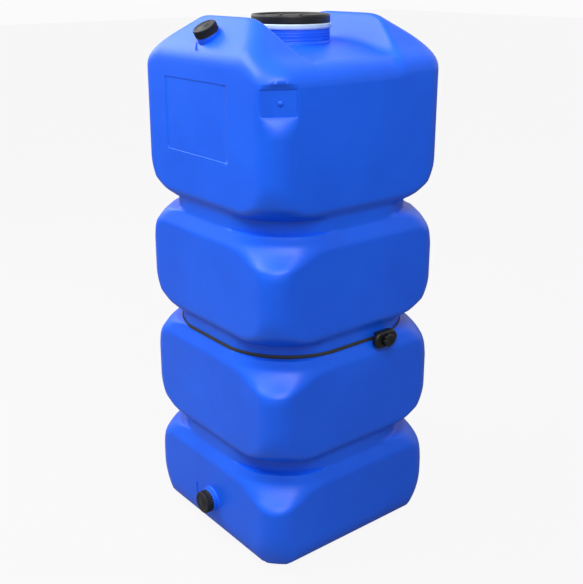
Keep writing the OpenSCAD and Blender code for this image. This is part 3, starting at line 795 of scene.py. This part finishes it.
def cap_shape():
    """Screw cap with grip ribs, a rounded edge and a raised ring on its face, open at Z = 0."""
    top = THREAD_H + SEAL_H + CAP_PLATE - CAP_PLAY
    plate = top - CAP_PLATE
    bore = BOSS_R + CAP_PLAY
    cols = CAP_RIBS * STEPS_PER_RIB
    angle = np.arange(cols) / cols * TAU
    wave = np.tanh(2.2 * np.cos(angle * CAP_RIBS)) * 0.5 + 0.5
    # Each station: radius, height, and how deep the ribs cut there
    inside = [(PIN, plate, 0), (bore, plate, 0), (bore, 0, 0)]
    side = [(CAP_R - 1.6, 0, 0), (CAP_R, 1.2, 0.4), (CAP_R, 3, 2.0), (CAP_R, top - 5, 2.0)]
    edge = [(CAP_R - 0.4, top - 3.2, 1.6), (CAP_R - 1.2, top - 1.6, 0.8), (CAP_R - 2.6, top - 0.5, 0)]
    ring = [(CAP_R - 4.5, top, 0), (CAP_R - 9, top, 0), (CAP_R - 10.5, top - 1.4, 0)]
    face = [(12, top - 1.4, 0), (10.5, top - 0.4, 0), (PIN, top - 0.4, 0)]
    stations = inside + side + edge + ring + face
    points = []
    for r, z, depth in stations:
        radius = r - depth * (1 - wave)
        points += [(q * math.cos(a), q * math.sin(a), z) for q, a in zip(radius, angle)]
    return points, grid_faces(len(stations), cols)


cap_points, cap_faces = cap_shape()
for name, turn, origin, shoulder in (("vent_screw_cap", VENT_TURN, vent_origin, VENT_SHOULDER_H),
                                     ("drain_screw_cap", DRAIN_TURN, drain_origin, DRAIN_SHOULDER_H)):
    lifted = np.array(cap_points) + [0, 0, shoulder + CAP_PLAY]
    body = name.split("_")[0]
    make_piece(name, (placed(lifted, turn, origin), cap_faces), cap_black, body,
               [body + "_cap"], 42)

# Strap and clamp

strap_low, strap_high = mm_box("girth_strap")
STRAP_GAP = 0.3
STRAP_T = strap_high[0] - (HALF - WAIST_IN) - STRAP_GAP
STRAP_STEPS = 360


def strap_shape():
    """A flat band that lies round the waist, with a low rib along its middle."""
    angles = np.linspace(0, TAU, STRAP_STEPS, endpoint=False)
    z = (strap_low[2] + strap_high[2]) / 2
    nothing = np.zeros(STRAP_STEPS)
    origins = np.stack([nothing, nothing, nothing + z], -1)
    directions = np.stack([np.cos(angles), np.sin(angles), nothing], -1)
    ring = surface_points(origins, directions, 0)[:, :2]
    chord = np.roll(ring, -1, 0) - np.roll(ring, 1, 0)
    along = chord / np.linalg.norm(chord, axis=1)[:, None]
    out = np.stack([along[:, 1], -along[:, 0]], -1)
    half = (strap_high[2] - strap_low[2]) / 2
    t = STRAP_T
    # Half of the section, from its inner edge to the rib's middle
    lower = [(0.3, -half + 0.3), (t - 0.5, -half), (t - 0.1, -half + 0.5), (t - 0.4, -1.4), (t, -0.7)]
    section = lower + [(away, -up) for away, up in lower[::-1]] + [lower[0]]
    points = []
    for away, up in section:
        points += [(p[0] + n[0] * (away + STRAP_GAP), p[1] + n[1] * (away + STRAP_GAP), z + up)
                   for p, n in zip(ring, out)]
    return points, grid_faces(len(section), STRAP_STEPS)


make_piece("waist_strap", strap_shape(), band_black, "tank", ["girth_strap"], 35)

clamp_low, clamp_high = mm_box("strap_clamp")
knob_low, knob_high = mm_box("strap_knob")
# The clamp's own Z axis points out of the wall, along X
CLAMP_TURN = np.array([[0, 0, 1], [1, 0, 0], [0, 1, 0]])
clamp_centre = np.array([0, (clamp_low[1] + clamp_high[1]) / 2, (clamp_low[2] + clamp_high[2]) / 2])
CLAMP_STEPS, CLAMP_FOOT, STUD_HOLE, HOLE_DEPTH = 48, 9.0, 5.3, 15.0
FOOT_SIZE, FOOT_SHIFT = (66, 24, 10), 13.0
knob_r = (knob_high[1] - knob_low[1]) / 2
KNOB_GROOVES, KNOB_STEPS, KNOB_BORE = 8, 96, 5.2


def oval_rows(width, height, levels):
    """Rows of points round a stadium shape; each level gives a height and how far the outline draws in."""
    r = height / 2
    rows = []
    for z, draw_in in levels:
        for k in range(CLAMP_STEPS):
            a = (k + 0.5) / CLAMP_STEPS * TAU
            shift = (width / 2 - r) * (1 if math.cos(a) >= 0 else -1)
            rows.append((shift + (r - draw_in) * math.cos(a), (r - draw_in) * math.sin(a), z))
    return rows


def clamp_shape():
    """The clamp's oval body with rounded edges and the stud's hole, and the foot that stands on the strap."""
    width, height = clamp_high[1] - clamp_low[1], clamp_high[2] - clamp_low[2]
    back, front = clamp_low[0] + CLAMP_FOOT, clamp_high[0]
    levels = [(back, 20), (back, 3), (back + 1, 1), (back + 3, 0), (front - 7, 0), (front - 4, 1),
              (front - 1.6, 3), (front - 0.5, 5.5), (front, 9), (front, 18)]
    points = oval_rows(width, height, levels)
    n = CLAMP_STEPS
    faces = grid_faces(len(levels), n)
    faces.append(tuple(range(n))[::-1])
    # The face round the stud's hole, the hole's wall and its bottom
    around = (np.arange(n) + 0.5) / n * TAU
    for z in (front, front - HOLE_DEPTH):
        points += [(STUD_HOLE * math.cos(a), STUD_HOLE * math.sin(a), z) for a in around]
    first = (len(levels) - 1) * n
    faces += [tuple(first + i for i in f) for f in grid_faces(3, n)]
    faces.append(tuple(first + 2 * n + j for j in range(n)))
    foot_points, foot_faces = block_shape(FOOT_SIZE, 2)
    foot = (placed(foot_points, np.eye(3), [0, FOOT_SHIFT, clamp_low[0]]), foot_faces)
    return merge((points, faces), foot)


def knob_shape():
    """Lobed hand knob with a dished face."""
    low, high = knob_low[0], knob_high[0]
    angle = np.arange(KNOB_STEPS) / KNOB_STEPS * TAU
    groove = 0.5 * (1 - np.cos(angle * KNOB_GROOVES))
    # Each station: radius, height, and how deep the grooves cut there
    stations = [(KNOB_BORE, low, 0), (knob_r - 3, low, 1.6), (knob_r, low + 2, 3.2), (knob_r, high - 4, 3.2),
                (knob_r - 1.2, high - 1.4, 2.6), (knob_r - 4, high, 1.0), (knob_r - 9, high - 0.4, 0),
                (9, high - 2.2, 0), (PIN, high - 2.6, 0)]
    points = []
    for r, z, depth in stations:
        radius = r - depth * groove
        points += [(q * math.cos(a), q * math.sin(a), z) for q, a in zip(radius, angle)]
    return points, grid_faces(len(stations), KNOB_STEPS)


clamp_points, clamp_faces = clamp_shape()
make_piece("clamp_body", (placed(clamp_points, CLAMP_TURN, clamp_centre), clamp_faces), clamp_black,
           "tank", ["strap_clamp"], 42)
knob_points, knob_faces = knob_shape()
make_piece("hand_knob", (placed(knob_points, CLAMP_TURN, clamp_centre), knob_faces), clamp_black, "knob",
           ["strap_knob"], 42)

for node, material in (("lid_gasket", seal_rubber), ("vent_seal", seal_rubber), ("drain_seal", seal_rubber),
                       ("clamp_stud", stud_steel)):
    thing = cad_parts[node]
    for slot in thing.material_slots:
        slot.material = material
    if not thing.material_slots:
        thing.data.materials.append(material)

# Floor, light and camera


def shown_as_white(tree, plain, white):
    """Mixes in a plain white for what the camera and the reflections see, without adding light."""
    path = add_node(tree, "ShaderNodeLightPath")
    seen = add_node(tree, "ShaderNodeMath", {"operation": "MAXIMUM"},
                    {0: path.outputs["Is Camera Ray"], 1: path.outputs["Is Glossy Ray"]})
    seen = add_node(tree, "ShaderNodeMath", {"operation": "MAXIMUM"},
                    {0: seen.outputs["Value"], 1: path.outputs["Is Transmission Ray"]})
    return add_node(tree, "ShaderNodeMixShader", {}, {0: seen.outputs["Value"], 1: plain, 2: white})


def make_world():
    """A dim, slightly cool room that looks white."""
    world = bpy.data.worlds.new("studio")
    bpy.context.scene.world = world
    world.use_nodes = True
    tree = world.node_tree
    tree.nodes.clear()
    dim = add_node(tree, "ShaderNodeBackground", {"Color": linear("#F4F7FF"), "Strength": 0.35})
    bright = add_node(tree, "ShaderNodeBackground", {"Color": linear("#FCFBFC"), "Strength": 1.0})
    mixed = shown_as_white(tree, dim.outputs[0], bright.outputs[0])
    add_node(tree, "ShaderNodeOutputWorld", {}, {"Surface": mixed.outputs[0]})


# Half length of the floor, in metres, how far it lies under the base, and how white the camera sees it
FLOOR_HALF, FLOOR_DROP, FLOOR_WHITE = 30.0, 0.0005, 0.93


def make_floor():
    """A painted floor that the camera sees mostly as white, with the tank's shadow on it."""
    material, tree, shader = new_material("pale_floor_paint")
    shader.inputs["Base Color"].default_value = linear("#969696")
    shader.inputs["Roughness"].default_value = 0.9
    output = next(n for n in tree.nodes if n.type == "OUTPUT_MATERIAL")
    glow = add_node(tree, "ShaderNodeEmission", {"Color": linear("#FEFDFE"), "Strength": 1.0})
    path = add_node(tree, "ShaderNodeLightPath")
    share = add_node(tree, "ShaderNodeMath", {"operation": "MULTIPLY", 1: FLOOR_WHITE},
                     {0: path.outputs["Is Camera Ray"]})
    mixed = add_node(tree, "ShaderNodeMixShader", {},
                     {0: share.outputs[0], 1: shader.outputs[0], 2: glow.outputs[0]})
    tree.links.new(mixed.outputs[0], output.inputs["Surface"])
    mesh = bpy.data.meshes.new("floor")
    corners = [(x * FLOOR_HALF, y * FLOOR_HALF, -FLOOR_DROP) for x, y in ((-1, -1), (1, -1), (1, 1), (-1, 1))]
    mesh.from_pydata(corners, [], [(0, 1, 2, 3)])
    mesh.materials.append(material)
    floor = bpy.data.objects.new("floor", mesh)
    bpy.context.scene.collection.objects.link(floor)


def look_axes(back):
    """A level camera's or lamp's right, up and back directions."""
    back = np.array(back, float)
    back /= np.linalg.norm(back)
    right = np.cross([0, 0, 1], back)
    right /= np.linalg.norm(right)
    return right, np.cross(back, right), back


def place_object(thing, axes, place):
    """Sets an object's place, and its own X, Y and Z directions."""
    right, up, back = axes
    rows = [[right[i], up[i], back[i], place[i]] for i in range(3)]
    thing.matrix_world = Matrix(rows + [[0, 0, 0, 1]])


def softbox(name, place, target, width, watts):
    """A square lamp at a place in metres, aimed at a target."""
    light = bpy.data.lights.new(name, "AREA")
    light.shape = "RECTANGLE"
    light.size = width
    light.size_y = width
    light.energy = watts
    lamp = bpy.data.objects.new(name, light)
    bpy.context.scene.collection.objects.link(lamp)
    place_object(lamp, look_axes(np.array(place) - np.array(target)), place)


make_world()
make_floor()
softbox("key_left", (-1.4, -2.5, 4.8), (0, 0, 1.0), 2.6, 180)
softbox("key_right", (2.7, -1.9, 4.5), (0, 0, 0.8), 2.6, 175)
# Grazes the front wall and lights the slopes and shoulders that face up
softbox("side_left", (-3.2, -1.0, 3.2), (0, 0, 1.0), 2.4, 60)

PHOTO_W, PHOTO_H = 583, 584
SENSOR = 36.0


def photo_camera(azimuth, pitch, roll, place_mm, focal_px, centre_px):
    """Camera from an azimuth, a downward pitch and a roll in degrees, and the centre of its view."""
    data = bpy.data.cameras.new("photo_view")
    camera = bpy.data.objects.new("photo_view", data)
    bpy.context.scene.collection.objects.link(camera)
    a, p, q = (math.radians(v) for v in (azimuth, pitch, roll))
    right, up, back = look_axes([math.sin(a) * math.cos(p), -math.cos(a) * math.cos(p), math.sin(p)])
    rolled_right = math.cos(q) * right + math.sin(q) * up
    rolled_up = math.cos(q) * up - math.sin(q) * right
    place_object(camera, (rolled_right, rolled_up, back), np.array(place_mm) * MM)
    data.sensor_fit = "HORIZONTAL"
    data.sensor_width = SENSOR
    data.lens = focal_px * SENSOR / PHOTO_H
    data.shift_x = -(centre_px[0] - PHOTO_W / 2) / PHOTO_H
    data.shift_y = (centre_px[1] - PHOTO_H / 2) / PHOTO_H
    data.clip_end = 100
    bpy.context.scene.camera = camera


photo_camera(51.93, 17.24, -0.23, (2326, -1874, 1908), 904, (278.8, 248.2))

bpy.context.scene.view_settings.view_transform = "Standard"
